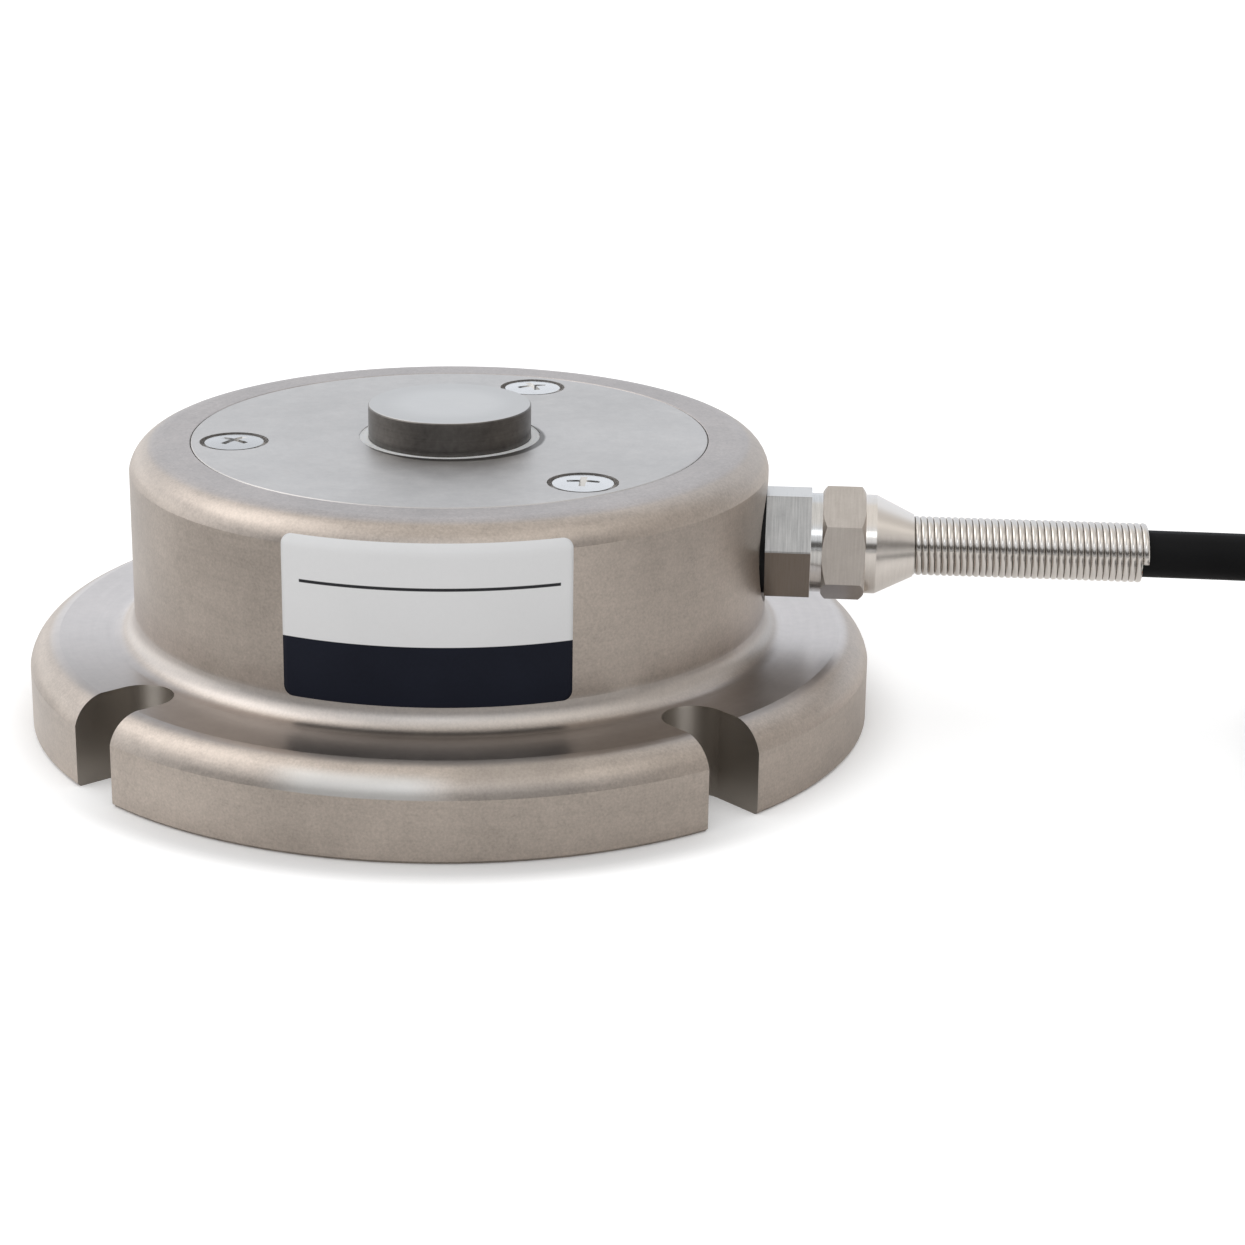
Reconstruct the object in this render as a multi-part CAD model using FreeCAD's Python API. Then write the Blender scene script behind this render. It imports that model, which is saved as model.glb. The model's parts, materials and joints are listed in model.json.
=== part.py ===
import FreeCAD, Part
import math
import os

# Spoke type load cell, in millimetres.
# The origin is the centre of the base, +Z is up and the cable leaves along +X.

Vector = FreeCAD.Vector
CENTRE = Vector(0, 0, 0)
UP = Vector(0, 0, 1)
OUT = Vector(1, 0, 0)
ACROSS = Vector(0, 1, 0)

# An edge runs along a direction if it leans from it by less than this, in degrees
along_angle = 5.0

# Outer form of the body
flange_diameter = 109.0
flange_height = 11.3
flange_edge_round = 4.5
flange_edge_width = 3.8
flange_edge_drop = 3.45
base_chamfer = 0.4
body_diameter = 82.0
body_height = 36.1
body_edge_round = 4.2
body_edge_drop = 3.3
body_foot_round = 2.8

# Open slots for the mounting bolts
slot_count = 4
slot_width = 8.0
slot_circle = 94.8
first_slot_angle = 45.0

# Hub, spokes and the room around them
hub_diameter = 22.0
hub_sink = 1.0
hub_drop = 2.0
cavity_diameter = 42.0
spoke_width = 8.0
spoke_height = 16.0
pocket_corner_round = 2.0

# Bridge board on its ledge
ledge_diameter = 48.0
ledge_depth = 3.5
board_edge_gap = 0.2
board_inner_diameter = 27.0
board_thickness = 1.2
board_clearance = 1.0
resistor_count = 4
resistor_length = 3.2
resistor_width = 1.6
resistor_height = 0.8
resistor_circle = 40.0

# Strain gauges on the flanks of the spokes
gauge_height = 7.0
gauge_thickness = 0.15
gauge_end_gap = 1.0

# Top cover, gasket and screws
cover_diameter = 66.2
cover_gap = 0.12
cover_thickness = 2.6
cover_edge_break = 0.1
gasket_thickness = 0.5
gasket_margin = 0.6
screw_count = 3
screw_circle = 55.2
first_screw_angle = -47.0
screw_diameter = 4.0
screw_length = 9.0
screw_head_diameter = 7.5
screw_sink = 0.1
screw_dome = 0.3
screw_hole_clearance = 0.25
screw_seat_clearance = 0.03
screw_relief_width = 0.65
screw_relief_depth = 0.9
screw_tip_room = 1.5
thread_clearance = 0.03
recess_span = 4.4
recess_width = 0.8
recess_depth = 1.1
recess_angles = [0.0, 25.0, -31.0]

# Load button and its sealing bead
button_diameter = 20.9
button_rise = 4.2
button_edge_break = 0.15
spigot_diameter = 10.0
spigot_length = 7.0
spigot_clearance = 0.03
bead_width = 1.15
bead_rise = 0.35
bead_clearance = 0.02

# Bottom cover and its sealing bead
bottom_cover_diameter = 52.0
bottom_cover_thickness = 2.0
bottom_recess = 0.5
bottom_bead_width = 1.0
bottom_bead_height = 1.2

# Cable gland
gland_level = 23.3
spot_face_diameter = 15.8
spot_face_depth = 1.1
gland_thread = 10.0
gland_thread_length = 10.0
gland_washer_diameter = 13.4
gland_washer_thickness = 1.0
gland_flats = 13.0
gland_hex_length = 5.75
gland_hex_angle = 24.0
gland_hex_edge_break = 0.12
gland_collar_diameter = 12.7
gland_collar_length = 1.4
gland_nipple_diameter = 10.4
gland_nipple_length = 2.45
gland_socket_diameter = 8.6
gland_socket_depth = 6.5
gland_bore_clearance = 0.15
hex_chamfer_angle = 30.0
passage_diameter = 7.0
nut_hex_length = 5.5
nut_hex_angle = -2.0
nut_collar_length = 1.35
nut_cone_length = 4.8
nut_lip = 0.17
nut_clearance = 0.1
bush_reach = 0.9
slip_washer_thickness = 0.8
fit_clearance = 0.03

# Bend spring
spring_outer_diameter = 7.6
spring_wire = 0.72
spring_pitch = 0.814
spring_visible_turns = 36
spring_foot_thickness = 0.8

# Rating label
label_width = 35.2
label_wrap_angle = 30.0
label_thickness = 0.12
label_face_angle = -90.0
label_turn_angle = 3.15
label_corner_round = 1.2
label_gap = 0.05

# Cable cores inside the body
core_count = 6
first_core_angle = 30.0
core_diameter = 1.2
core_ring = 3.8
near_core_landing = 19.0
far_core_landing = 16.0
jacket_end = 44.0

# Free cable: a straight lead-in, a tied coil and a tail
cable_diameter = 6.0
bend_ratio = 0.45
coil_centre_x = 151.0
coil_inner_diameter = 42.0
coil_outer_diameter = 90.0
coil_height = 24.0
coil_level = 1.3
coil_corner_round = 3.0
cable_route = [
    Vector(jacket_end, 0, gland_level),
    Vector(112, 0, gland_level),
    Vector(139.3, 0, 22.3),
]
tail_route = [
    Vector(109, -33, 4.3),
    Vector(108.5, -12, 3.7),
    Vector(113, 6, 3.5),
]
sleeve_diameter = 6.9
sleeve_length = 14.0
sleeve_overlap = 6.0
lead_length = 38.0
lead_straight = 12.0
lead_fan_angle = 7.0
lead_floor_gap = 0.05

# Tie round the coil
tie_width = 4.6
tie_thickness = 1.1
tie_clearance = 0.2
tie_angle = -45.0
tie_head_length = 6.5
tie_head_height = 5.5
tie_head_depth = 3.4
tie_tail_length = 10.0

# Levels and radii that follow
flange_radius = flange_diameter / 2
body_radius = body_diameter / 2
shoulder_level = body_height - body_edge_round
shoulder_radius = body_radius - math.sqrt(body_edge_round ** 2 - (body_edge_round - body_edge_drop) ** 2)
hub_radius = hub_diameter / 2
cavity_radius = cavity_diameter / 2
ledge_radius = ledge_diameter / 2
cover_radius = cover_diameter / 2
counterbore_radius = cover_radius + cover_gap
button_radius = button_diameter / 2
cover_bottom = body_height - cover_thickness
cover_seat = cover_bottom - gasket_thickness
ledge_level = cover_seat - ledge_depth
spoke_top = ledge_level - board_clearance
spoke_bottom = spoke_top - spoke_height
bottom_seat = bottom_recess + bottom_cover_thickness
hub_foot = spoke_bottom - hub_drop
hub_top = cover_bottom - hub_sink
button_top = body_height + button_rise
bead_radius = button_radius + bead_width
bottom_cover_radius = bottom_cover_diameter / 2
screw_head_top = body_height - screw_sink
gland_seat = body_radius - spot_face_depth
gland_start = gland_seat + gland_washer_thickness
gland_collar_start = gland_start + gland_hex_length
gland_collar_end = gland_collar_start + gland_collar_length
nipple_end = gland_collar_end + gland_nipple_length
bush_end = nipple_end + bush_reach
spring_foot_start = bush_end + slip_washer_thickness
nut_shoulder = spring_foot_start + spring_foot_thickness
nut_collar_start = gland_collar_end + nut_hex_length
nut_cone_start = nut_collar_start + nut_collar_length
nut_end = nut_cone_start + nut_cone_length
spring_end = nut_end + spring_visible_turns * spring_pitch
gland_bore_radius = cable_diameter / 2 + gland_bore_clearance
spring_bore_radius = spring_outer_diameter / 2 - spring_wire
nut_bore_radius = spring_outer_diameter / 2 + fit_clearance
coil_centre_y = cable_diameter / 2 - coil_outer_diameter / 2


def angles(count, first=0.0):
    """Evenly spaced angles round the vertical axis, in degrees."""
    return [first + index * 360.0 / count for index in range(count)]


def turned(shape, angle, centre=CENTRE):
    """A copy of the shape, turned about the vertical axis."""
    copy = shape.copy()
    copy.rotate(centre, UP, angle)
    return copy


def outline_face(start, *steps):
    """A face in the XZ plane. Each step is a point, or (through, end) for an arc."""
    edges = []
    here = Vector(start[0], 0, start[1])
    first = here
    for step in steps:
        if isinstance(step[0], tuple):
            through = Vector(step[0][0], 0, step[0][1])
            end = Vector(step[1][0], 0, step[1][1])
            edges.append(Part.Arc(here, through, end).toShape())
        else:
            end = Vector(step[0], 0, step[1])
            edges.append(Part.LineSegment(here, end).toShape())
        here = end
    edges.append(Part.LineSegment(here, first).toShape())
    return Part.Face(Part.Wire(edges))


def corner(centre_x, centre_z, radius, from_angle, to_angle):
    """The (through, end) pair of an arc about a centre, for outline_face."""
    middle = math.radians((from_angle + to_angle) / 2)
    end = math.radians(to_angle)
    through = (centre_x + radius * math.cos(middle), centre_z + radius * math.sin(middle))
    finish = (centre_x + radius * math.cos(end), centre_z + radius * math.sin(end))
    return through, finish


def crown(start, end, radius):
    """The (through, end) pair of an arc that bulges to the right on its way from start to end."""
    along = Vector(end[0] - start[0], 0, end[1] - start[1])
    rise = radius - math.sqrt(radius ** 2 - along.Length ** 2 / 4)
    across = Vector(along.z, 0, -along.x).normalize() * rise
    through = ((start[0] + end[0]) / 2 + across.x, (start[1] + end[1]) / 2 + across.z)
    return through, end


def edges_along(shape, direction):
    """The edges of a shape that run along a direction."""
    least = math.cos(math.radians(along_angle))
    return [edge for edge in shape.Edges if abs(edge.tangentAt(edge.FirstParameter) * direction) > least]


def spun(face, angle=360.0):
    """The solid that a face in the XZ plane sweeps round the vertical axis."""
    return face.revolve(CENTRE, UP, angle)


def spun_on_gland(*outline):
    """A turned piece on the gland's axis: its outline is (x, radius) points."""
    points = [Vector(x, 0, radius) for x, radius in outline]
    wire = Part.makePolygon(points + points[:1])
    solid = Part.Face(wire).revolve(CENTRE, OUT, 360)
    solid.translate(Vector(0, 0, gland_level))
    return solid


def ring(outer_radius, inner_radius, bottom, height):
    """A flat ring round the vertical axis."""
    outer = Part.makeCylinder(outer_radius, height, Vector(0, 0, bottom))
    return outer.cut(Part.makeCylinder(inner_radius, height, Vector(0, 0, bottom)))


def hexagon(start, length, flats, turn):
    """A hexagon bar on the gland's axis."""
    corner_radius = flats / math.sqrt(3)
    points = []
    for angle in angles(6, turn):
        across = -corner_radius * math.sin(math.radians(angle))
        up = corner_radius * math.cos(math.radians(angle))
        points.append(Vector(start, across, gland_level + up))
    outline = Part.makePolygon(points + points[:1])
    return Part.Face(outline).extrude(Vector(length, 0, 0))


def turned_hexagon(start, length, flats, turn):
    """A hexagon bar whose corners are turned off at both ends."""
    corner_radius = flats / math.sqrt(3)
    drop = (corner_radius - flats / 2) * math.tan(math.radians(hex_chamfer_angle))
    end = start + length
    turned_form = spun_on_gland(
        (start, 0), (start, flats / 2), (start + drop, corner_radius),
        (end - drop, corner_radius), (end, flats / 2), (end, 0),
    )
    return hexagon(start, length, flats, turn).common(turned_form)


def tube(points, diameter, label):
    """A round tube along straight runs, joined by the largest tangent arcs that they allow."""
    edges = []
    here = points[0]
    for before, point, after in zip(points, points[1:], points[2:]):
        run_in = point - before
        run_out = after - point
        shorter = min(run_in.Length, run_out.Length)
        turn = run_in.getAngle(run_out)
        tangent = bend_ratio * shorter
        radius = tangent / math.tan(turn / 2)
        run_in.normalize()
        run_out.normalize()
        inward = run_out - run_in
        inward.normalize()
        start = point - run_in * tangent
        end = point + run_out * tangent
        through = point + inward * (radius / math.cos(turn / 2) - radius)
        edges.append(Part.LineSegment(here, start).toShape())
        edges.append(Part.Arc(start, through, end).toShape())
        here = end
        print("%s: radius %.1f mm, turn %.1f degrees" % (label, radius, math.degrees(turn)))
    edges.append(Part.LineSegment(here, points[-1]).toShape())
    path = Part.Wire(edges)
    section = Part.makeCircle(diameter / 2, points[0], points[1] - points[0])
    solid = path.makePipeShell([Part.Wire(section)], True, True)
    share = solid.Volume / (math.pi * diameter ** 2 / 4 * path.Length)
    print("%s: length %.1f mm, volume over section times length %.5f" % (label, path.Length, share))
    return solid


def slot_cutter(angle):
    """One open slot: a round end on the bolt circle and straight walls out through the rim."""
    reach = flange_radius - slot_circle / 2 + slot_width
    height = flange_height + body_foot_round
    round_end = Part.makeCylinder(slot_width / 2, height, Vector(slot_circle / 2, 0, 0))
    mouth = Part.makeBox(reach, slot_width, height, Vector(slot_circle / 2, -slot_width / 2, 0))
    return turned(round_end.fuse(mouth).removeSplitter(), angle)


def body_blank():
    """The turned outside: base, flange with a crowned rim, concave foot, wall and round shoulder.

    The rim's and the shoulder's arcs meet the upright walls at a slight angle, in a visible line.
    """
    rim_foot = (flange_radius, flange_height - flange_edge_drop)
    rim_top = (flange_radius - flange_edge_width, flange_height)
    foot = body_radius + body_foot_round
    foot_level = flange_height + body_foot_round
    wall_top = (body_radius, body_height - body_edge_drop)
    shoulder_top = (shoulder_radius, body_height)
    return spun(outline_face(
        (0, 0),
        (flange_radius - base_chamfer, 0),
        (flange_radius, base_chamfer),
        rim_foot,
        crown(rim_foot, rim_top, flange_edge_round),
        (foot, flange_height),
        corner(foot, foot_level, body_foot_round, 270, 180),
        wall_top,
        crown(wall_top, shoulder_top, body_edge_round),
        (0, body_height),
    ))


def pockets():
    """The four through pockets that leave the spokes standing between hub and wall."""
    room = ring(cavity_radius, hub_radius, spoke_bottom, spoke_height)
    low_corner = Vector(0, -spoke_width / 2, spoke_bottom)
    for angle in angles(slot_count, first_slot_angle):
        spoke = Part.makeBox(cavity_radius, spoke_width, spoke_height, low_corner)
        room = room.cut(turned(spoke, angle))
    return [pocket.makeFillet(pocket_corner_round, edges_along(pocket, UP)) for pocket in room.Solids]


def make_body():
    """Flange, wall, hub and spokes: the one-piece elastic body."""
    break_depth = cover_edge_break
    counterbore = spun(outline_face(
        (0, cover_seat),
        (counterbore_radius, cover_seat),
        (counterbore_radius, body_height - break_depth),
        (counterbore_radius + break_depth, body_height),
        (0, body_height),
    ))
    hub = Part.makeCylinder(hub_radius, hub_top - hub_foot, Vector(0, 0, hub_foot))
    board_room = Part.makeCylinder(ledge_radius, cover_seat - ledge_level, Vector(0, 0, ledge_level))
    upper_room = Part.makeCylinder(cavity_radius, ledge_level - spoke_top, Vector(0, 0, spoke_top))
    lower_room = Part.makeCylinder(cavity_radius, spoke_bottom - bottom_seat, Vector(0, 0, bottom_seat))
    bottom_room = Part.makeCylinder(bottom_cover_radius + bottom_bead_width, bottom_seat)
    rooms = counterbore.fuse([board_room, upper_room, lower_room]).cut(hub)
    spigot_foot = Vector(0, 0, hub_top - spigot_length)
    spigot_bore = Part.makeCylinder(spigot_diameter / 2 + spigot_clearance, spigot_length, spigot_foot)
    gland_axis = Vector(0, 0, gland_level)
    spot_face = Part.makeCylinder(spot_face_diameter / 2, body_radius, gland_axis + OUT * gland_seat, OUT)
    thread_room = Part.makeCylinder(
        gland_thread / 2 + fit_clearance,
        gland_thread_length + spot_face_depth,
        gland_axis + OUT * (gland_start - gland_thread_length - fit_clearance),
        OUT,
    )
    mid_pocket = (hub_radius + cavity_radius) / 2
    passage = Part.makeCylinder(
        passage_diameter / 2, gland_seat - mid_pocket, gland_axis + OUT * mid_pocket, OUT
    )
    cutters = [rooms, bottom_room, spigot_bore, spot_face, thread_room, passage] + pockets()
    cutters += [slot_cutter(angle) for angle in angles(slot_count, first_slot_angle)]
    for angle in angles(screw_count, first_screw_angle):
        depth = screw_length - cover_thickness - gasket_thickness + screw_tip_room
        hole = Part.makeCylinder(
            screw_diameter / 2 + thread_clearance, depth, Vector(screw_circle / 2, 0, cover_seat - depth)
        )
        cutters.append(turned(hole, angle))
    return body_blank().cut(cutters)


def make_button():
    """Load button: a flat disc on the hub, with a spigot down its bore."""
    spigot_foot = hub_top - spigot_length + spigot_clearance
    return spun(outline_face(
        (0, spigot_foot),
        (spigot_diameter / 2, spigot_foot),
        (spigot_diameter / 2, hub_top),
        (button_radius, hub_top),
        (button_radius, button_top - button_edge_break),
        (button_radius - button_edge_break, button_top),
        (0, button_top),
    ))


def make_bead():
    """Soft sealing bead in the ring between button and cover, rounded over above the cover."""
    inner = button_radius + bead_clearance
    outer = bead_radius
    peak = ((inner + outer) / 2, body_height + bead_rise)
    return spun(outline_face(
        (inner, cover_bottom),
        (outer, cover_bottom),
        (outer, body_height),
        (peak, (inner, body_height)),
    ))


def make_cover():
    """Top cover: a flat disc with a hole for the button and relieved, countersunk holes for the screws."""
    plate = spun(outline_face(
        (bead_radius + bead_clearance, cover_bottom),
        (cover_radius, cover_bottom),
        (cover_radius, body_height - cover_edge_break),
        (cover_radius - cover_edge_break, body_height),
        (bead_radius + bead_clearance, body_height),
    ))
    hole_radius = screw_diameter / 2 + screw_hole_clearance
    mouth_radius = screw_head_diameter / 2 + screw_relief_width
    relief_floor = body_height - screw_relief_depth
    cone_radius = screw_head_diameter / 2 + screw_seat_clearance
    hole = spun(outline_face(
        (0, cover_bottom),
        (hole_radius, cover_bottom),
        (hole_radius, screw_head_top - (cone_radius - hole_radius)),
        (cone_radius - (screw_head_top - relief_floor), relief_floor),
        (mouth_radius, relief_floor),
        (mouth_radius, body_height),
        (0, body_height),
    ))
    hole.translate(Vector(screw_circle / 2, 0, 0))
    return plate.cut([turned(hole, angle) for angle in angles(screw_count, first_screw_angle)])


def make_gasket():
    """Flat gasket between the cover and its seat, with holes for the screws."""
    flat = ring(cover_radius, ledge_radius + gasket_margin, cover_seat, gasket_thickness)
    hole = Part.makeCylinder(
        screw_diameter / 2 + screw_hole_clearance, gasket_thickness, Vector(screw_circle / 2, 0, cover_seat)
    )
    return flat.cut([turned(hole, angle) for angle in angles(screw_count, first_screw_angle)])


def make_screw(angle, recess_angle):
    """One countersunk screw with a low dome, and a tapered cross recess that ended where it was tightened."""
    head_radius = screw_head_diameter / 2
    shank_radius = screw_diameter / 2
    cone_foot = screw_head_top - (head_radius - shank_radius)
    dome_radius = (head_radius ** 2 + screw_dome ** 2) / (2 * screw_dome)
    half = head_radius / 2
    through = (half, screw_head_top + screw_dome - dome_radius + math.sqrt(dome_radius ** 2 - half ** 2))
    tip = screw_head_top - screw_length
    screw = spun(outline_face(
        (0, tip), (shank_radius, tip), (shank_radius, cone_foot), (head_radius, screw_head_top),
        (through, (0, screw_head_top + screw_dome)),
    ))
    top = screw_head_top + screw_dome
    floor = top - recess_depth
    arm = outline_face(
        (-recess_span / 2, top), (recess_span / 2, top), (recess_width / 2, floor), (-recess_width / 2, floor)
    ).extrude(Vector(0, recess_width, 0))
    arm.translate(Vector(0, -recess_width / 2, 0))
    screw = screw.cut([turned(arm, recess_angle - angle + quarter) for quarter in (0, 90)])
    screw.translate(Vector(screw_circle / 2, 0, 0))
    return turned(screw, angle)


def make_bottom_cover():
    """Thin disc that closes the room under the spokes, a little above the base."""
    return Part.makeCylinder(bottom_cover_radius, bottom_cover_thickness, Vector(0, 0, bottom_recess))


def make_bottom_bead():
    """Sealing bead between the bottom cover's edge and the body."""
    outer = bottom_cover_radius + bottom_bead_width
    return ring(outer, bottom_cover_radius, bottom_seat - bottom_bead_height, bottom_bead_height)


def make_gauge(angle, side):
    """One foil gauge on a flank of the spoke at the given angle."""
    start = hub_radius + pocket_corner_round
    length = cavity_radius - pocket_corner_round - gauge_end_gap - start
    level = (spoke_top + spoke_bottom - gauge_height) / 2
    flank = spoke_width / 2 if side > 0 else -spoke_width / 2 - gauge_thickness
    return turned(Part.makeBox(length, gauge_thickness, gauge_height, Vector(start, flank, level)), angle)


def make_board():
    """Bridge board: a ring that lies on the ledge round the hub."""
    return ring(ledge_radius - board_edge_gap, board_inner_diameter / 2, ledge_level, board_thickness)


def make_resistor(angle):
    """One trim resistor on the board, across the radius."""
    corner_point = Vector(
        (resistor_circle - resistor_width) / 2, -resistor_length / 2, ledge_level + board_thickness
    )
    block = Part.makeBox(resistor_width, resistor_length, resistor_height, corner_point)
    return turned(block, angle)


def make_core(index):
    """One cable core: straight in along the gland, then up to the underside of the board."""
    angle = math.radians(angles(core_count, first_core_angle)[index])
    side = core_ring / 2 * math.cos(angle)
    rise = core_ring / 2 * math.sin(angle)
    landing = near_core_landing if rise > 0 else far_core_landing
    level = gland_level + rise
    points = [
        Vector(jacket_end, side, level),
        Vector(landing, side, level),
        Vector(landing, side, ledge_level),
    ]
    return tube(points, core_diameter, "core %d" % (index + 1))


def make_gland_washer():
    """Black sealing washer between the body's spot face and the gland."""
    bore = gland_thread / 2 + fit_clearance
    return spun_on_gland(
        (gland_seat, bore), (gland_seat, gland_washer_diameter / 2),
        (gland_start, gland_washer_diameter / 2), (gland_start, bore),
    )


def make_gland_body():
    """Gland body: threaded end in the wall, hexagon, collar, and a nipple under the nut."""
    collar = gland_collar_diameter / 2
    nipple = gland_nipple_diameter / 2
    inner_end = gland_start - gland_thread_length
    turned_form = spun_on_gland(
        (inner_end, 0), (inner_end, gland_thread / 2), (gland_start, gland_thread / 2),
        (gland_collar_start, gland_thread / 2), (gland_collar_start, collar), (gland_collar_end, collar),
        (gland_collar_end, nipple), (nipple_end, nipple), (nipple_end, 0),
    )
    socket_start = nipple_end - gland_socket_depth
    bore = spun_on_gland(
        (inner_end, 0), (inner_end, gland_bore_radius), (socket_start, gland_bore_radius),
        (socket_start, gland_socket_diameter / 2), (nipple_end, gland_socket_diameter / 2), (nipple_end, 0),
    )
    bar = hexagon(gland_start, gland_hex_length, gland_flats, gland_hex_angle)
    bar = bar.makeChamfer(gland_hex_edge_break, edges_along(bar, OUT))
    return turned_form.fuse(bar).cut(bore).removeSplitter()


def make_gland_bush():
    """Rubber bush that grips the cable in the gland's socket."""
    outer = gland_socket_diameter / 2 - fit_clearance
    inner = cable_diameter / 2 + fit_clearance
    start = nipple_end - gland_socket_depth
    return spun_on_gland((start, inner), (start, outer), (bush_end, outer), (bush_end, inner))


def make_slip_washer():
    """Metal washer between bush and spring foot, so that the nut turns without twisting the bush."""
    outer = gland_nipple_diameter / 2
    inner = gland_bore_radius
    return spun_on_gland(
        (bush_end, inner), (bush_end, outer), (spring_foot_start, outer), (spring_foot_start, inner)
    )


def make_gland_nut():
    """Gland nut: hexagon, polished collar and a cone that narrows to the spring."""
    collar = gland_collar_diameter / 2
    nose = nut_bore_radius + nut_lip
    room = gland_nipple_diameter / 2 + nut_clearance
    start = gland_collar_end
    bar = turned_hexagon(start, nut_hex_length, gland_flats, nut_hex_angle)
    turned_form = spun_on_gland(
        (nut_collar_start, 0), (nut_collar_start, collar), (nut_cone_start, collar),
        (nut_end, nose), (nut_end, 0),
    )
    bore = spun_on_gland(
        (start, 0), (start, room), (nut_shoulder, room), (nut_shoulder, nut_bore_radius),
        (nut_end, nut_bore_radius), (nut_end, 0),
    )
    return bar.fuse(turned_form).cut(bore).removeSplitter()


def make_spring():
    """Bend spring: a foot under the nut's shoulder, then one V groove between each pair of turns."""
    outer = spring_outer_diameter / 2
    valley = outer - spring_wire / 2
    points = [
        (spring_end, spring_bore_radius),
        (spring_foot_start, spring_bore_radius),
        (spring_foot_start, gland_nipple_diameter / 2),
        (nut_shoulder, gland_nipple_diameter / 2),
        (nut_shoulder, outer),
        (nut_end, outer),
    ]
    for turn in range(spring_visible_turns):
        turn_start = nut_end + turn * spring_pitch
        points.append((turn_start, valley))
        points.append((turn_start + spring_pitch / 2, outer))
    points.append((spring_end, valley))
    return spun_on_gland(*points)


def label_edge(gap):
    """A surface off the wall by a gap: its radius, its shoulder arc and the angle where that begins."""
    wall = body_radius + gap
    arc = body_edge_round + gap
    return wall, arc, math.degrees(math.acos((wall - shoulder_radius) / arc))


def make_label():
    """Rating label: a thin sheet on the wall, its upper edge bent over the shoulder round."""
    inner, inner_round, inner_start = label_edge(label_gap)
    outer, outer_round, outer_start = label_edge(label_gap + label_thickness)
    foot = flange_height + body_foot_round
    wrap = math.radians(label_wrap_angle)
    edge_radius = shoulder_radius + inner_round * math.cos(wrap)
    edge_level = shoulder_level + inner_round * math.sin(wrap)
    section = outline_face(
        (inner, foot),
        (outer, foot),
        (outer, shoulder_level + outer_round * math.sin(math.radians(outer_start))),
        corner(shoulder_radius, shoulder_level, outer_round, outer_start, label_wrap_angle),
        (edge_radius, edge_level),
        corner(shoulder_radius, shoulder_level, inner_round, label_wrap_angle, inner_start),
    )
    half_angle = math.degrees(label_width / body_radius) / 2
    sheet = turned(spun(section, 2 * half_angle), -half_angle)
    half_chord = outer * math.sin(math.radians(half_angle))
    top = shoulder_level + outer_round * math.sin(wrap)
    low_corner = Vector(shoulder_radius / 2, -half_chord, foot)
    window = Part.makeBox(body_radius, 2 * half_chord, top - foot, low_corner)
    window = window.makeFillet(label_corner_round, edges_along(window, OUT))
    return turned(sheet.common(window), label_face_angle + label_turn_angle)


def make_coil(lead_in, tail):
    """Outer form of the tied coil: a ring of rounded section, with room for both cable ends."""
    centre = Vector(coil_centre_x, coil_centre_y, coil_level)
    form = Part.makeCylinder(coil_outer_diameter / 2, coil_height, centre)
    form = form.cut(Part.makeCylinder(coil_inner_diameter / 2, coil_height, centre))
    rims = [edge for edge in form.Edges if isinstance(edge.Curve, Part.Circle)]
    return form.makeFillet(coil_corner_round, rims).cut([lead_in, tail])


def make_tie():
    """Tie band round the coil's section, with a square head and a short end."""
    inside = coil_inner_diameter / 2 - tie_clearance
    outside = coil_outer_diameter / 2 + tie_clearance
    top = coil_level + coil_height + tie_clearance
    floor = coil_level - tie_clearance
    length = outside - inside

    def loop_block(margin):
        """The block inside the band, or with its thickness as margin the band's outer form."""
        low_corner = Vector(inside - margin, -tie_width / 2, floor - margin)
        block = Part.makeBox(length + 2 * margin, tie_width, top - floor + 2 * margin, low_corner)
        return block.makeFillet(coil_corner_round + margin, edges_along(block, ACROSS))

    band = loop_block(tie_thickness).cut(loop_block(0))
    middle = coil_level + coil_height / 2
    face = outside + tie_thickness
    head_corner = Vector(face, -tie_head_length / 2, middle - tie_head_height / 2)
    head = Part.makeBox(tie_head_depth, tie_head_length, tie_head_height, head_corner)
    end = Part.makeBox(
        tie_tail_length, tie_width, tie_thickness, Vector(face, -tie_width / 2, middle - tie_thickness / 2)
    )
    tie = turned(band.fuse([head, end]).removeSplitter(), tie_angle)
    tie.translate(Vector(coil_centre_x, coil_centre_y, 0))
    return tie


def tail_direction():
    """The direction in which the tail of the cable ends."""
    direction = tail_route[-1] - tail_route[-2]
    direction.z = 0
    direction.normalize()
    return direction


def make_sleeve():
    """Shrunk sleeve over the end of the jacket, closed round the leads."""
    direction = tail_direction()
    start = tail_route[-1] - direction * sleeve_overlap
    radius = sleeve_diameter / 2
    return Part.makeCylinder(radius, sleeve_length, start, direction)


def make_lead(index):
    """One flying lead: out of the sleeve, down to the floor and fanned out."""
    direction = tail_direction()
    across = Vector(-direction.y, direction.x, 0)
    places = [math.radians(angle) for angle in angles(core_count)]
    sideways = core_ring / 2 * math.cos(places[index])
    rise = core_ring / 2 * math.sin(places[index])
    mouth = tail_route[-1] + direction * (sleeve_length - sleeve_overlap)
    start = mouth + across * sideways + UP * rise
    order = sorted(range(core_count), key=lambda number: (round(math.cos(places[number]), 3), number))
    fan = math.radians((order.index(index) - (core_count - 1) / 2) * lead_fan_angle)
    heading = direction * math.cos(fan) + across * math.sin(fan)
    bend = start + direction * lead_straight
    end = bend + heading * (lead_length - lead_straight)
    end.z = core_diameter / 2 + lead_floor_gap
    return tube([start, bend, end], core_diameter, "lead %d" % (index + 1))


lead_in = tube(cable_route, cable_diameter, "cable")
tail = tube(tail_route, cable_diameter, "cable tail")
sleeve = make_sleeve()
screws = []
for index, angle in enumerate(angles(screw_count, first_screw_angle)):
    screws.append(make_screw(angle, recess_angles[index % len(recess_angles)]))

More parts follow.
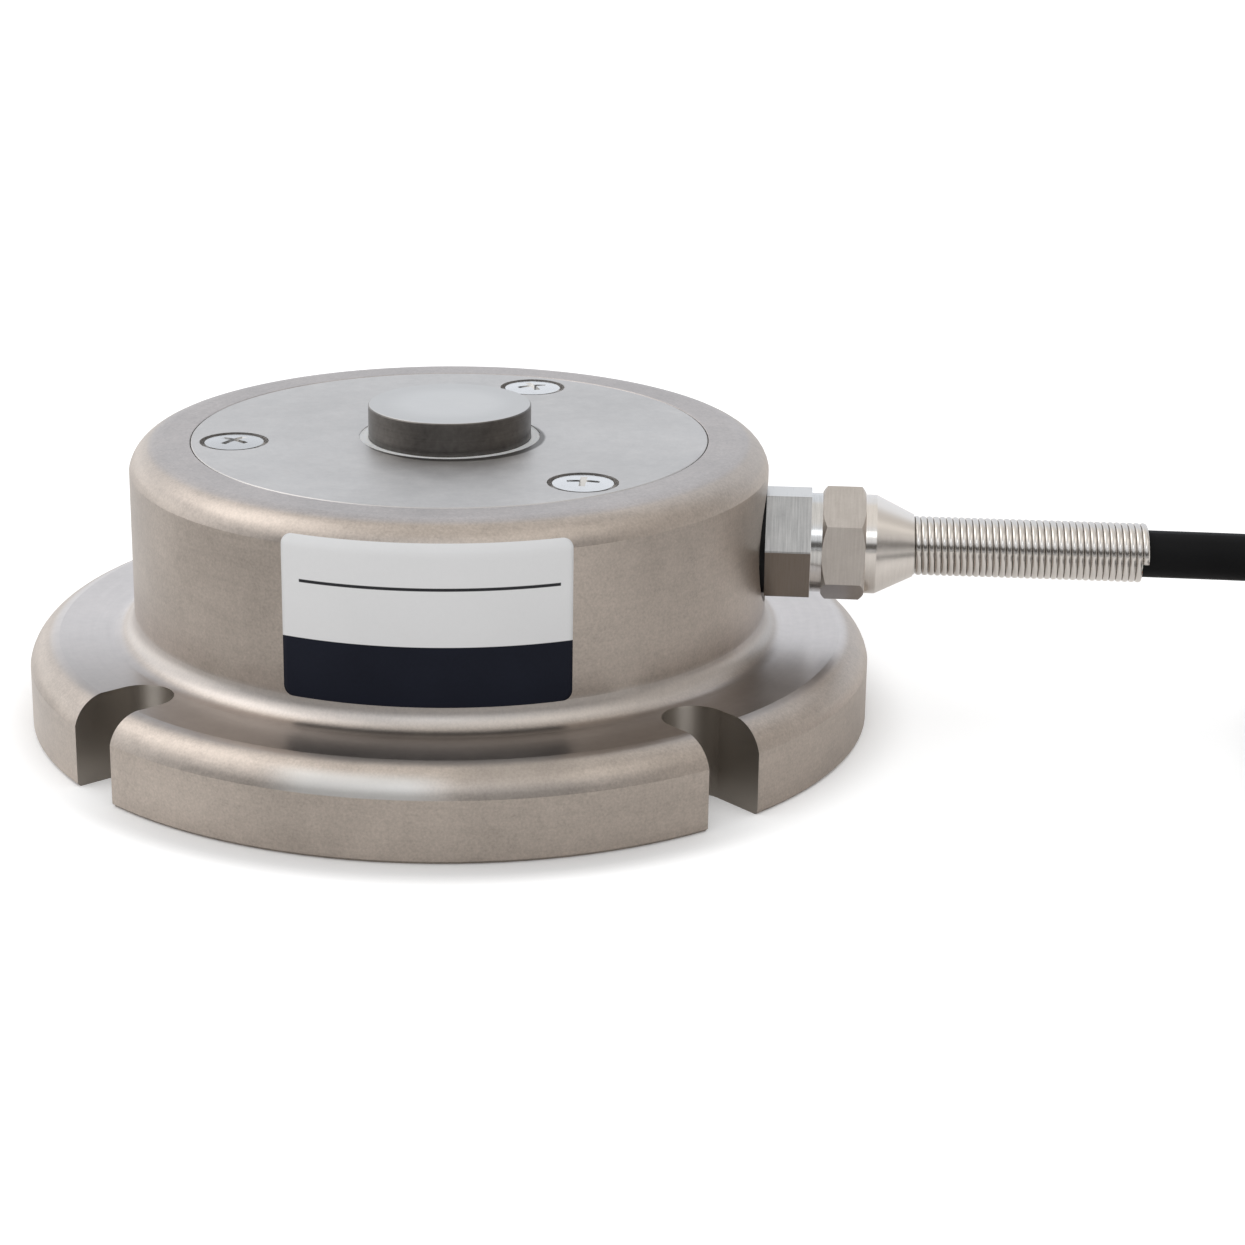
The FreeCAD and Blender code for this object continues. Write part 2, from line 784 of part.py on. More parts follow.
parts = {
    "body": make_body(),
    "load_button": make_button(),
    "button_seal": make_bead(),
    "top_cover": make_cover(),
    "cover_gasket": make_gasket(),
    "cover_screws": Part.Compound(screws),
    "bottom_cover": make_bottom_cover(),
    "bottom_seal": make_bottom_bead(),
    "bridge_board": make_board(),
    "gland_washer": make_gland_washer(),
    "gland_body": make_gland_body(),
    "gland_bush": make_gland_bush(),
    "gland_slip_washer": make_slip_washer(),
    "gland_nut": make_gland_nut(),
    "bend_spring": make_spring(),
    "rating_label": make_label(),
    "cable": lead_in,
    "cable_tail": tail.cut(sleeve),
    "cable_coil": make_coil(lead_in, tail),
    "cable_tie": make_tie(),
    "end_sleeve": sleeve.cut(tail),
}
gauge_number = 0
for spoke_angle in angles(slot_count, first_slot_angle):
    for side in (1, -1):
        gauge_number += 1
        parts["strain_gauge_%d" % gauge_number] = make_gauge(spoke_angle, side)
for index, angle in enumerate(angles(resistor_count, first_slot_angle)):
    parts["trim_resistor_%d" % (index + 1)] = make_resistor(angle)
for index in range(core_count):
    parts["core_wire_%d" % (index + 1)] = make_core(index)
    parts["lead_%d" % (index + 1)] = make_lead(index)

os.makedirs("parts", exist_ok=True)
for name, shape in parts.items():
    shape.exportStep("parts/%s.step" % name)
    print("%-18s solids %d  valid %s  volume %.2f" % (name, len(shape.Solids), shape.isValid(), shape.Volume))
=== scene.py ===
import json
import math

import bpy
import numpy as np
from mathutils import Matrix, Vector


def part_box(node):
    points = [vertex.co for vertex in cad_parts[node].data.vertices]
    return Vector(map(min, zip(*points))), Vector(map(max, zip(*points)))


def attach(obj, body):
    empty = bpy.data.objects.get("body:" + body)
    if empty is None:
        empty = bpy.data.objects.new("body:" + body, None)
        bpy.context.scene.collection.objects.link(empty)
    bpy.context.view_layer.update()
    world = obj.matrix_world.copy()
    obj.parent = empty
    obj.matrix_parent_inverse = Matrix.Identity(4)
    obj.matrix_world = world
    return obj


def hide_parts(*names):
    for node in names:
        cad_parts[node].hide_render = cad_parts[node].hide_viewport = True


# A spoke type load cell on a pale floor, in metres, in the frame of its solids:
# the origin is the centre of the base, +Z is up and the cable leaves along +X.

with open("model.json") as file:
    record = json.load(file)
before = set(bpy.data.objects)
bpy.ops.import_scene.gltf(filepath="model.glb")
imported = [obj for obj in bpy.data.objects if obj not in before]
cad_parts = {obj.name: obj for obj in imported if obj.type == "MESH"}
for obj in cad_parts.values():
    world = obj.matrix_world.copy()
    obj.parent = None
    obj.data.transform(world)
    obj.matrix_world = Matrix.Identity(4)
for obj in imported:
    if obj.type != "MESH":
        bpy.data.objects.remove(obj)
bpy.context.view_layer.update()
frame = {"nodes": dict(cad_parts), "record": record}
nodes = frame["nodes"]
MM = 0.001

# Sizes that the solids give
flange_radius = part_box("body")[1].x
body_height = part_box("body")[1].z
button_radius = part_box("load_button")[1].x
button_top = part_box("load_button")[1].z
gland_level = (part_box("gland_nut")[0].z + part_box("gland_nut")[1].z) / 2
nut_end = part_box("gland_nut")[1].x
spring_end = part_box("bend_spring")[1].x
label_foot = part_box("rating_label")[0].z

# Sizes of the outer form that the solids' boxes don't give
body_radius = 41.0 * MM
shoulder_round = 4.2 * MM
shoulder_drop = 3.3 * MM
shoulder_level = body_height - shoulder_round
shoulder_radius = body_radius - math.sqrt(shoulder_round ** 2 - (shoulder_round - shoulder_drop) ** 2)
nut_cone_length = 4.8 * MM
flats_from = {"gland_body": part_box("gland_body")[0].x, "gland_nut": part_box("gland_nut")[0].x}
flats_to = {"gland_body": 46.6 * MM, "gland_nut": 53.5 * MM}
foil_pitch = 0.5 * MM
slot_width = 8.0 * MM
slot_circle_radius = 47.4 * MM
flange_top = 11.3 * MM
rim_width = 3.8 * MM
rim_drop = 3.45 * MM

# Camera
camera_place = Vector((44.51, -345.47, 129.54)) * MM
camera_yaw = -0.0946
camera_pitch = 0.3112
camera_roll = 0.0052
camera_lens = 80.97
camera_shift = (0.0663, -0.0401)

# Cable: a straight lead-in, a tied coil and a tail
cable_diameter = 6.0 * MM
lead_in_route = [(44.0, 0.0, 23.3), (112.0, 0.0, 23.3), (139.3, 0.0, 22.3)]
tail_route = [(109.0, -33.0, 4.3), (108.5, -12.0, 3.7), (113.0, 6.0, 3.5)]
coil_centre = (151.0, -42.0)
coil_outer_turn = 42.0
coil_inner_turn = 24.0
coil_levels = [22.3, 16.3, 10.3, 4.3]
coil_turns_in_row = 3
coil_row_change = 0.25
points_in_turn = 16

# Bend spring
spring_wire = 0.80 * MM
spring_wire_depth = 0.56 * MM
spring_radius = 3.8 * MM - spring_wire_depth / 2
spring_pitch = 0.814 * MM
spring_start = 56.0 * MM
spring_tip_angle = math.radians(97)

# Sealant round the button, and the painted shade, a dark crescent, beside it
seal_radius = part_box("button_seal")[1].x
seal_clearance = 0.02 * MM
seal_sink = 0.10 * MM
seal_sag = 0.04 * MM
seal_waver = 0.03 * MM
crescent_centre = (0.65 * MM, -1.00 * MM)

# Label
label_width = 35.2 * MM
label_wrap = math.radians(30)
label_turn = math.radians(3.15)
label_corner = 1.2 * MM
label_stand_off = 0.05 * MM
label_thickness = 0.12 * MM
label_band_top = 21.55 * MM
label_rule_level = 28.6 * MM
label_rule_height = 0.38 * MM
label_rule_ends = (math.radians(-18.1), math.radians(25.5))

# Fineness of the meshes
spring_steps_in_turn = 48
spring_section_steps = 14
seal_steps_round = 160
seal_steps_across = 15
label_rows = 42
label_columns = 61
label_corner_rows = 9

# Studio
floor_reach = 6.0
shadow_reach = 7.0 * MM
lamp_target = Vector((0.0, 0.0, 0.02))
lamps = {
    "front_panel": {
        "place": Vector((0.02, -0.92, 0.77)),
        "width": 0.40,
        "height": 0.26,
        "power": 0.38,
        "colour": (0.95, 1.0, 1.06),
    },
    "left_panel": {
        "place": Vector((-0.55, 0.0, 0.66)),
        "width": 0.50,
        "height": 0.50,
        "power": 0.8,
        "colour": (1.0, 0.99, 0.98),
    },
}


class Signal:
    """A socket of a node tree. Arithmetic on it adds Math nodes, and node() adds any other node."""

    def __init__(self, tree, socket=None):
        self.tree = tree
        self.socket = socket

    def node(self, kind, settings, inputs, output=0):
        """A new node: its settings first, then the values or links of its sockets."""
        made = self.tree.nodes.new(kind)
        for key, value in settings.items():
            setattr(made, key, value)
        for key, value in inputs.items():
            if isinstance(value, Signal):
                self.tree.links.new(value.socket, made.inputs[key])
            else:
                made.inputs[key].default_value = value
        return Signal(self.tree, made.outputs[output])

    def other(self, output):
        """Another output of the node that this signal leaves."""
        return Signal(self.tree, self.socket.node.outputs[output])

    def math(self, operation, first, second=0.0):
        return self.node("ShaderNodeMath", {"operation": operation}, {0: first, 1: second})

    def __add__(self, other):
        return self.math("ADD", self, other)

    __radd__ = __add__

    def __sub__(self, other):
        return self.math("SUBTRACT", self, other)

    def __rsub__(self, other):
        return self.math("SUBTRACT", other, self)

    def __mul__(self, other):
        return self.math("MULTIPLY", self, other)

    __rmul__ = __mul__

    def __truediv__(self, other):
        return self.math("DIVIDE", self, other)

    def __pow__(self, other):
        return self.math("POWER", self, other)

    def rise(self, low, high):
        """0 below low, 1 above high and a smooth step between."""
        settings = {"interpolation_type": "SMOOTHSTEP", "clamp": True}
        return self.node("ShaderNodeMapRange", settings, {0: self, 1: low, 2: high})

    def inside(self, low, high, soft):
        """1 between low and high, fading to 0 over a soft edge on both sides."""
        return self.rise(low - soft, low + soft) * (1 - self.rise(high - soft, high + soft))

    def parts(self):
        """The three components of a vector."""
        split = self.node("ShaderNodeSeparateXYZ", {}, {0: self})
        return [split.other(index) for index in range(3)]

    def times(self, *factors):
        """A vector stretched by three factors."""
        return self.node("ShaderNodeVectorMath", {"operation": "MULTIPLY"}, {0: self, 1: factors})

    def vector(self, x, y, z):
        return self.node("ShaderNodeCombineXYZ", {}, {0: x, 1: y, 2: z})

    def noise(self, scale, detail=2.0, roughness=0.5):
        """Noise about 0, between -0.5 and 0.5, on this vector."""
        inputs = {"Vector": self, "Scale": scale, "Detail": detail, "Roughness": roughness}
        return self.node("ShaderNodeTexNoise", {}, inputs) - 0.5

    def blend(self, first, second):
        """From the first colour to the second, with this signal as the share of the second."""
        settings = {"data_type": "RGBA"}
        first = first if isinstance(first, Signal) else (*first, 1.0)
        second = second if isinstance(second, Signal) else (*second, 1.0)
        return self.node("ShaderNodeMix", settings, {0: self, 6: first, 7: second}, output=2)

    def dents(self, height):
        """A normal from this signal as a height of so many metres."""
        return self.node("ShaderNodeBump", {}, {"Strength": 1.0, "Distance": height, "Height": self})


CONSTANT_SOCKETS = {
    "metallic": "Metallic",
    "specular": "Specular IOR Level",
    "subsurface": "Subsurface Weight",
}


class Finish:
    """A material under construction: its shader and the place on the piece, as a signal."""

    def __init__(self, name, **constants):
        self.material = bpy.data.materials.new(name)
        self.material.use_nodes = True
        tree = self.material.node_tree
        self.shader = tree.nodes["Principled BSDF"]
        for socket, value in constants.items():
            self.shader.inputs[CONSTANT_SOCKETS[socket]].default_value = value
        self.place = Signal(tree).node("ShaderNodeTexCoord", {}, {}, output="Object")

    def set(self, socket, value):
        """Feeds a socket of the shader with a signal, or sets it."""
        if isinstance(value, Signal):
            self.material.node_tree.links.new(value.socket, self.shader.inputs[socket])
        else:
            self.shader.inputs[socket].default_value = value

    def dress(self, colour, roughness, normal=None):
        """The three inputs that most finishes have."""
        self.set("Base Color", colour)
        self.set("Roughness", roughness)
        if normal is not None:
            self.set("Normal", normal)
        return self.material


def body_steel():
    """Satin plated steel: a blasted, slightly blotched grain over turned marks, and a painted shade in the
    slots.

    The front of the rim has a painted highlight on one side and a painted shade on the other; the foot round
    has a painted highlight, and the flange's flat is painted darker in front than behind.
    """
    finish = Finish("body_steel", metallic=1.0)
    x, y, z = finish.place.parts()
    radius = (x * x + y * y) ** 0.5
    on_top = z.rise(body_height - 0.5 * MM, body_height - 0.1 * MM)
    on_flat = z.inside(flange_top - 0.25 * MM, flange_top + 0.25 * MM, 0.25 * MM)
    round_way = finish.place.vector((z - radius) * 1400, x / radius * 3, y / radius * 3)
    marks = round_way.noise(1.0, 4.0, 0.65)
    grain = finish.place.noise(3200, 4.0, 0.65) * (1 - on_flat * 0.8)
    speck = finish.place.noise(900, 2.0)
    mottle = finish.place.noise(260, 3.0)
    blotch = finish.place.noise(60, 4.0)
    shade = 0.5 + marks * 0.45 + grain * 1.6 + speck * 0.4 + mottle * 0.5 + blotch * 0.8
    wall = shade.blend((0.370, 0.327, 0.292), (0.570, 0.504, 0.450))
    top = shade.blend((0.360, 0.332, 0.318), (0.550, 0.507, 0.485))
    # The flange's flat: a painted shade in front and painted light behind, one material in two tones.
    flat = shade.blend((0.275, 0.248, 0.232), (0.390, 0.354, 0.330))
    painted_light_flat = shade.blend((0.515, 0.482, 0.465), (0.695, 0.650, 0.627))
    flat = y.rise(-0.040, -0.005).blend(flat, painted_light_flat)
    # Painted shade: the walls of the slots are darker than the rest of the body.
    wide, deep = x.math("ABSOLUTE", x), y.math("ABSOLUTE", y)
    inward = x.math("MAXIMUM", slot_circle_radius - (wide + deep) * math.sqrt(0.5), 0.0)
    across = (wide - deep) * math.sqrt(0.5)
    from_slot = (inward * inward + across * across) ** 0.5
    in_slot = 1 - from_slot.rise(slot_width / 2 + 0.015 * MM, slot_width / 2 + 0.045 * MM)
    # Painted highlight: the foot round between the wall and the flange is lighter.
    foot = z.inside(flange_top + 0.5 * MM, flange_top + 3.0 * MM, 0.4 * MM)
    wall = (foot * 0.35).blend(wall, (0.66, 0.645, 0.635))
    rim = radius.rise(flange_radius - rim_width, flange_radius - rim_width * 0.85)
    rim = rim * z.rise(flange_top - rim_drop - 0.05 * MM, flange_top - rim_drop + 0.05 * MM)
    rim = rim * (0 - y).rise(0.0, 0.01)
    low = 1 - z.rise(flange_top - 1.6 * MM, flange_top - 0.6 * MM)
    # Painted highlight on the left front of the rim's lower edge, and painted shade on its right front.
    painted_rim_highlight = rim * low * (x / radius).inside(-0.24, 0.09, 0.07) + mottle * 0.1 * rim
    painted_rim_shade = rim * (x / radius).inside(0.15, 0.38, 0.06)
    wall = (painted_rim_highlight * 0.75).blend(wall, (0.70, 0.69, 0.67))
    wall = (painted_rim_shade * 0.35).blend(wall, (0.26, 0.235, 0.215))
    colour = in_slot.blend(on_flat.blend(on_top.blend(wall, top), flat), (0.38, 0.350, 0.318))
    roughness = 0.40 - on_flat * 0.09 + grain * 0.12 + mottle * 0.08 + blotch * 0.06
    relief = (marks * 0.4 + grain) * (1 - on_flat * 0.95)
    return finish.dress(colour, roughness, relief.dents(0.006 * MM))


def cover_steel():
    """Fine matte steel with a faint round lay, duller patches and a painted shade, a dark crescent, beside
    the sealant.
    """
    finish = Finish("cover_steel", metallic=1.0)
    x, y, _ = finish.place.parts()
    radius = (x * x + y * y) ** 0.5
    lay = finish.place.vector(radius * 2400, x / radius * 2, y / radius * 2)
    marks = lay.noise(1.0, 2.0)
    grain = finish.place.noise(3000, 3.0)
    mottle = finish.place.noise(300, 3.0)
    speck = finish.place.noise(900, 2.0)
    cloud = finish.place.noise(70, 3.0)
    shade = 0.5 + marks * 0.2 + grain * 0.6 + speck * 0.5 + mottle * 0.6 + cloud * 0.9
    colour = shade.blend((0.475, 0.461, 0.449), (0.630, 0.612, 0.597))
    # Painted shade: a dark crescent beside the sealant, off centre towards the right front.
    aside, ahead = x - crescent_centre[0], y - crescent_centre[1]
    from_centre = (aside * aside + ahead * ahead) ** 0.5 + mottle * 0.4 * MM
    crescent = 1 - from_centre.rise(seal_radius - 0.1 * MM, seal_radius + 0.3 * MM)
    colour = (crescent * 0.8).blend(colour, (0.09, 0.085, 0.08))
    roughness = 0.44 + grain * 0.12 + mottle * 0.10
    return finish.dress(colour, roughness, (grain + marks * 0.3).dents(0.005 * MM))


def button_steel():
    """Hardened steel: a ground top that is darker towards its edge, and a dark turned side."""
    finish = Finish("button_steel", metallic=1.0)
    x, y, z = finish.place.parts()
    top = z.rise(button_top - 0.04 * MM, button_top - 0.01 * MM)
    edge = ((x * x + y * y) ** 0.5).rise(button_radius * 0.45, button_radius)
    lines = finish.place.vector(z * 5200, x * 60, y * 60).noise(1.0, 3.0)
    ground = finish.place.times(500, 5200, 500).noise(1.0, 2.0)
    cloud = finish.place.noise(220, 3.0)
    speck = finish.place.noise(1500, 3.0)
    side_shade = 0.5 + lines * 0.6 + cloud * 1.1 + speck * 0.8
    top_shade = 0.5 + ground * 0.4 + cloud * 0.5 - edge * 0.7
    side_colour = side_shade.blend((0.088, 0.082, 0.077), (0.176, 0.165, 0.155))
    top_colour = top_shade.blend((0.560, 0.552, 0.540), (0.680, 0.671, 0.656))
    roughness = 0.34 + top * 0.06 + cloud * 0.12
    normal = (lines * (1 - top)).dents(0.006 * MM)
    return finish.dress(top.blend(side_colour, top_colour), roughness, normal)


def screw_steel():
    """Bright zinc plate; the left screw is darker, a painted shade."""
    finish = Finish("screw_steel", metallic=1.0)
    left = (0 - finish.place.parts()[0]).rise(0.015, 0.018)
    cloud = finish.place.noise(900, 3.0)
    fine = finish.place.noise(4200, 2.0)
    colour = (0.5 + cloud * 0.8).blend((0.65, 0.648, 0.645), (0.80, 0.795, 0.79))
    # Painted shade: the left screw is darker.
    colour = (left * 0.6).blend(colour, (0.46, 0.455, 0.45))
    return finish.dress(colour, 0.22 + cloud * 0.15 + fine * 0.06, fine.dents(0.003 * MM))


def gland_nickel(name, dark, light, painted_shade_below, brushed):
    """Nickel plate: duller flats with fine marks across the gland's axis, polished collars, a satin cone;
    flats and cone are painted lighter where they face up, and flats darker brown where they face down.
    """
    finish = Finish(name, metallic=1.0)
    x, y, z = finish.place.parts()
    marks = finish.place.vector(x * 5200, y * 260, z * 260).noise(1.0, 3.0)
    cloud = finish.place.noise(500, 3.0)
    fine = finish.place.noise(3600, 2.0)
    flat = x.inside(flats_from[name], flats_to[name], 0.02 * MM)
    cone = x.rise(nut_end - nut_cone_length - 0.05 * MM, nut_end - nut_cone_length + 0.05 * MM)
    up = finish.place.node("ShaderNodeNewGeometry", {}, {}, output="Normal").parts()[2]
    shade = 0.85 - flat * 0.60 + marks * brushed + cloud * 0.3 + fine * 0.15
    # Painted light: flats that face up and the upper side of the cone are lighter.
    shade = shade + flat * up.rise(0.93, 0.98) * 0.8 + cone * up.rise(0.3, 0.7) * 0.45
    # Painted shade: flats that face down turn a darker brown.
    lower = flat * (0 - up).rise(0.2, 0.35)
    colour = (lower * (0.9 + marks * 0.4)).blend(shade.blend(dark, light), painted_shade_below)
    roughness = 0.16 + flat * 0.20 + cone * 0.10 + cloud * 0.05
    return finish.dress(colour, roughness, (marks * flat).dents(0.004 * MM))


def spring_steel():
    """Bright drawn wire, faintly warm, with slight cloudiness."""
    finish = Finish("spring_steel", metallic=1.0)
    cloud = finish.place.noise(400, 2.0)
    colour = (0.5 + cloud).blend((0.62, 0.588, 0.555), (0.70, 0.665, 0.63))
    return finish.dress(colour, 0.17 + cloud * 0.06)


def pale_sealant():
    """Soft off-white silicone, smoothed by hand."""
    finish = Finish("pale_sealant", subsurface=0.1)
    lumps = finish.place.noise(700, 3.0)
    fine = finish.place.noise(2600, 2.0)
    colour = (0.5 + lumps).blend((0.88, 0.87, 0.85), (0.94, 0.93, 0.91))
    return finish.dress(colour, 0.48 + lumps * 0.2, (lumps + fine * 0.2).dents(0.05 * MM))


def matte_black(name, shade, roughness, scale, specular=0.3):
    """Black rubber or plastic: fine grain and slight cloudiness."""
    finish = Finish(name, specular=specular)
    grain = finish.place.noise(scale, 3.0)
    cloud = finish.place.noise(160, 2.0)
    dark = Vector((1.0, 1.0, 1.05)) * shade
    colour = (0.5 + cloud * 0.8 + grain * 0.4).blend(dark, dark * 1.7)
    return finish.dress(colour, roughness + grain * 0.14, grain.dents(0.02 * MM))


def label_film():
    """White satin film with a dark blue field below and a thin rule above it."""
    finish = Finish("label_film", specular=0.12)
    x, y, z = finish.place.parts()
    azimuth = x.math("ARCTAN2", x, 0 - y)
    band = 1 - z.rise(label_band_top - 0.04 * MM, label_band_top + 0.04 * MM)
    half = label_rule_height / 2
    rule = z.inside(label_rule_level - half, label_rule_level + half, 0.04 * MM)
    rule = rule * azimuth.inside(label_rule_ends[0], label_rule_ends[1], 0.001)
    cloud = finish.place.noise(120, 2.0)
    fine = finish.place.noise(2400, 2.0)
    paper = (0.5 + cloud * 0.6 + fine * 0.3).blend((0.775, 0.78, 0.79), (0.845, 0.85, 0.86))
    print_blue = (0.5 + cloud + fine * 0.5).blend((0.007, 0.0085, 0.016), (0.012, 0.0145, 0.026))
    colour = rule.blend(band.blend(paper, print_blue), (0.03, 0.03, 0.034))
    return finish.dress(colour, 0.50 + fine * 0.12 - band * 0.06, fine.dents(0.004 * MM))


def gauge_foil():
    """Amber carrier film with the lines of a foil grid."""
    finish = Finish("gauge_foil")
    phase = finish.place.parts()[2] * (2 * math.pi / foil_pitch)
    grid = phase.math("SINE", phase).rise(-0.1, 0.1)
    colour = grid.blend((0.62, 0.36, 0.09), (0.50, 0.42, 0.33))
    return finish.dress(colour, 0.38 - grid * 0.1)


def board_green():
    """Green solder resist over a faint weave."""
    finish = Finish("board")
    weave = finish.place.noise(1500, 2.0)
    colour = (0.5 + weave).blend((0.03, 0.17, 0.07), (0.06, 0.25, 0.11))
    return finish.dress(colour, 0.35 + weave * 0.2)


def wire_colour(name, colour):
    """Smooth coloured insulation."""
    finish = Finish(name)
    cloud = finish.place.noise(900, 2.0)
    pale = tuple(min(1.0, channel * 1.3 + 0.01) for channel in colour)
    return finish.dress((0.5 + cloud * 0.8).blend(colour, pale), 0.36 + cloud * 0.15)


core_colours = {
    "core_red": (0.50, 0.03, 0.025),
    "core_black": (0.02, 0.02, 0.02),
    "core_green": (0.03, 0.28, 0.08),
    "core_white": (0.74, 0.74, 0.72),
    "core_blue": (0.03, 0.09, 0.40),
    "core_yellow": (0.70, 0.50, 0.03),
}

finishes = {
    "body_steel": body_steel(),
    "cover_steel": cover_steel(),
    "button_steel": button_steel(),
    "screw_steel": screw_steel(),
    "spring_steel": spring_steel(),
    "pale_sealant": pale_sealant(),
    "black_rubber": matte_black("black_rubber", 0.006, 0.62, 1800, 0.2),
    "cable_jacket": matte_black("cable_jacket", 0.007, 0.58, 2200, 0.07),
    "tie_plastic": matte_black("tie_plastic", 0.015, 0.42, 1400),
    "resistor": matte_black("resistor", 0.05, 0.55, 2500),
    "label_film": label_film(),
    "gauge_foil": gauge_foil(),
    "board": board_green(),
}
for name, colour in core_colours.items():
    finishes[name] = wire_colour(name, colour)
# Each gland finish: its dark and light colours, the painted shade of its flats that face down, and how
# strongly its marks show.
gland_finishes = {
    "gland_body": gland_nickel(
        "gland_body", (0.33, 0.328, 0.325), (0.68, 0.67, 0.655), (0.240, 0.206, 0.175), 0.9
    ),
    "gland_nut": gland_nickel(
        "gland_nut", (0.43, 0.392, 0.36), (0.80, 0.755, 0.71), (0.33, 0.300, 0.282), 0.4
    ),
}
gland_finishes["gland_slip_washer"] = gland_finishes["gland_nut"]


def surface(name, points, faces, slot):
    """A smooth mesh piece from an array of points and a list of faces."""
    mesh = bpy.data.meshes.new(name)
    mesh.from_pydata(points.reshape(-1, 3).tolist(), [], faces)
    mesh.validate()
    mesh.polygons.foreach_set("use_smooth", np.full(len(mesh.polygons), True))
    mesh.materials.append(finishes[slot])
    piece = bpy.data.objects.new(name, mesh)
    bpy.context.scene.collection.objects.link(piece)
    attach(piece, "root")
    return piece


def grid_faces(rows, columns, closed=False, looped=False):
    """The four-sided faces of a grid of points.

    closed joins the last column to the first, and looped the last row to the first.
    """
    last_row = rows if looped else rows - 1
    last_column = columns if closed else columns - 1
    row, column = np.meshgrid(np.arange(last_row), np.arange(last_column), indexing="ij")
    across, along = (column + 1) % columns, (row + 1) % rows
    corners = [row * columns + column, row * columns + across]
    corners += [along * columns + across, along * columns + column]
    return np.stack(corners, axis=-1).reshape(-1, 4).tolist()


def make_cable():
    """One smooth curve: straight out of the gland, into the coil row by row, and out along the floor.

    Each row of the coil is a flat spiral that moves by one cable width a turn, in or out by turns,
    and a quarter turn leads down to the next row.
    """
    points = [Vector(point) for point in lead_in_route]
    angle = math.pi / 2
    step = -2 * math.pi / points_in_turn
    bulge = 1 / math.cos(step / 2)
    ends = (coil_outer_turn, coil_inner_turn)
    for row, level in enumerate(coil_levels):
        start, end = ends if row % 2 == 0 else ends[::-1]
        count = coil_turns_in_row * points_in_turn
        for index in range(count + 1):
            radius = (start + (end - start) * index / count) * bulge
            across = radius * math.cos(angle + index * step)
            along = radius * math.sin(angle + index * step)
            points.append(Vector((coil_centre[0] + across, coil_centre[1] + along, level)))
        angle += count * step
        if row + 1 < len(coil_levels):
            change = int(coil_row_change * points_in_turn)
            for index in range(1, change):
                between = level + (coil_levels[row + 1] - level) * index / change
                across = end * bulge * math.cos(angle + index * step)
                along = end * bulge * math.sin(angle + index * step)
                points.append(Vector((coil_centre[0] + across, coil_centre[1] + along, between)))
            angle += change * step
    points += [Vector(point) for point in tail_route]
    curve = bpy.data.curves.new("cable_line", "CURVE")
    curve.dimensions = "3D"
    curve.bevel_depth = cable_diameter / 2
    curve.bevel_resolution = 5
    curve.resolution_u = 4
    curve.use_fill_caps = True
    spline = curve.splines.new("NURBS")
    spline.points.add(len(points) - 1)
    for target, point in zip(spline.points, points):
        target.co = (*(point * MM), 1.0)
    spline.order_u = 3
    spline.use_endpoint_u = True
    curve.materials.append(finishes["cable_jacket"])
    piece = bpy.data.objects.new("cable_line", curve)
    bpy.context.scene.collection.objects.link(piece)
    piece.visible_glossy = False
    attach(piece, "root")
    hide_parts("cable", "cable_coil", "cable_tail")
    return piece


def make_spring():
    """A wire carried along a helix: its section, a flattened circle, turns with the helix, a pitch a turn."""
    turns = (spring_end - spring_start) / spring_pitch
    columns = spring_section_steps
    rows = int(turns * spring_steps_in_turn)
    turn = np.linspace(-2 * math.pi * turns, 0, rows)[:, None] + spring_tip_angle
    section = np.linspace(0, -2 * math.pi, columns, endpoint=False)[None, :]
    middle = spring_end - spring_wire / 4 + (turn - spring_tip_angle) / (2 * math.pi) * spring_pitch
    radius = spring_radius + spring_wire_depth / 2 * np.cos(section)
    points = np.stack([
        middle + spring_wire / 2 * np.sin(section),
        -radius * np.sin(turn),
        gland_level + radius * np.cos(turn),
    ], axis=-1)
    tips = np.stack([points[0].mean(axis=0), points[-1].mean(axis=0)])
    points = np.concatenate([points.reshape(-1, 3), tips])
    near = np.arange(columns)
    far = near + (rows - 1) * columns
    first_tip = np.full(columns, rows * columns)
    faces = grid_faces(rows, columns, closed=True)
    faces += np.stack([np.roll(near, -1), near, first_tip], axis=-1).tolist()
    faces += np.stack([far, np.roll(far, -1), first_tip + 1], axis=-1).tolist()
    piece = surface("spring_wire", points, faces, "spring_steel")
    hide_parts("bend_spring")
    return piece


def make_seal():
    """A ring of sealant: along is the angle about the axis, across its closed section, from the button out.

    The top lies a little under the cover, sags between its edges, and wavers with the angle.
    """
    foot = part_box("button_seal")[0].z
    inner, outer = button_radius + seal_clearance, seal_radius
    angle = np.linspace(0, 2 * math.pi, seal_steps_round, endpoint=False)[:, None]
    share = np.linspace(0, 1, seal_steps_across)[None, :]
    waver = 0.6 * np.sin(3 * angle + 1.0) + 0.4 * np.sin(7 * angle)
    edge = body_height - seal_sink - seal_waver * waver
    level = edge - seal_sag * np.sin(math.pi * share) + (seal_sink * 0.3) * share
    radius = inner + (outer - inner) * share + 0 * angle
    flat = np.full_like(angle, foot)
    level = np.concatenate([level, flat, flat], axis=1)
    radius = np.concatenate([radius, flat * 0 + outer, flat * 0 + inner], axis=1)
    points = np.stack([radius * np.cos(angle), radius * np.sin(angle), level], axis=-1)
    faces = grid_faces(*level.shape, closed=True, looped=True)
    piece = surface("seal_ring", points, faces, "pale_sealant")
    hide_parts("button_seal")
    return piece


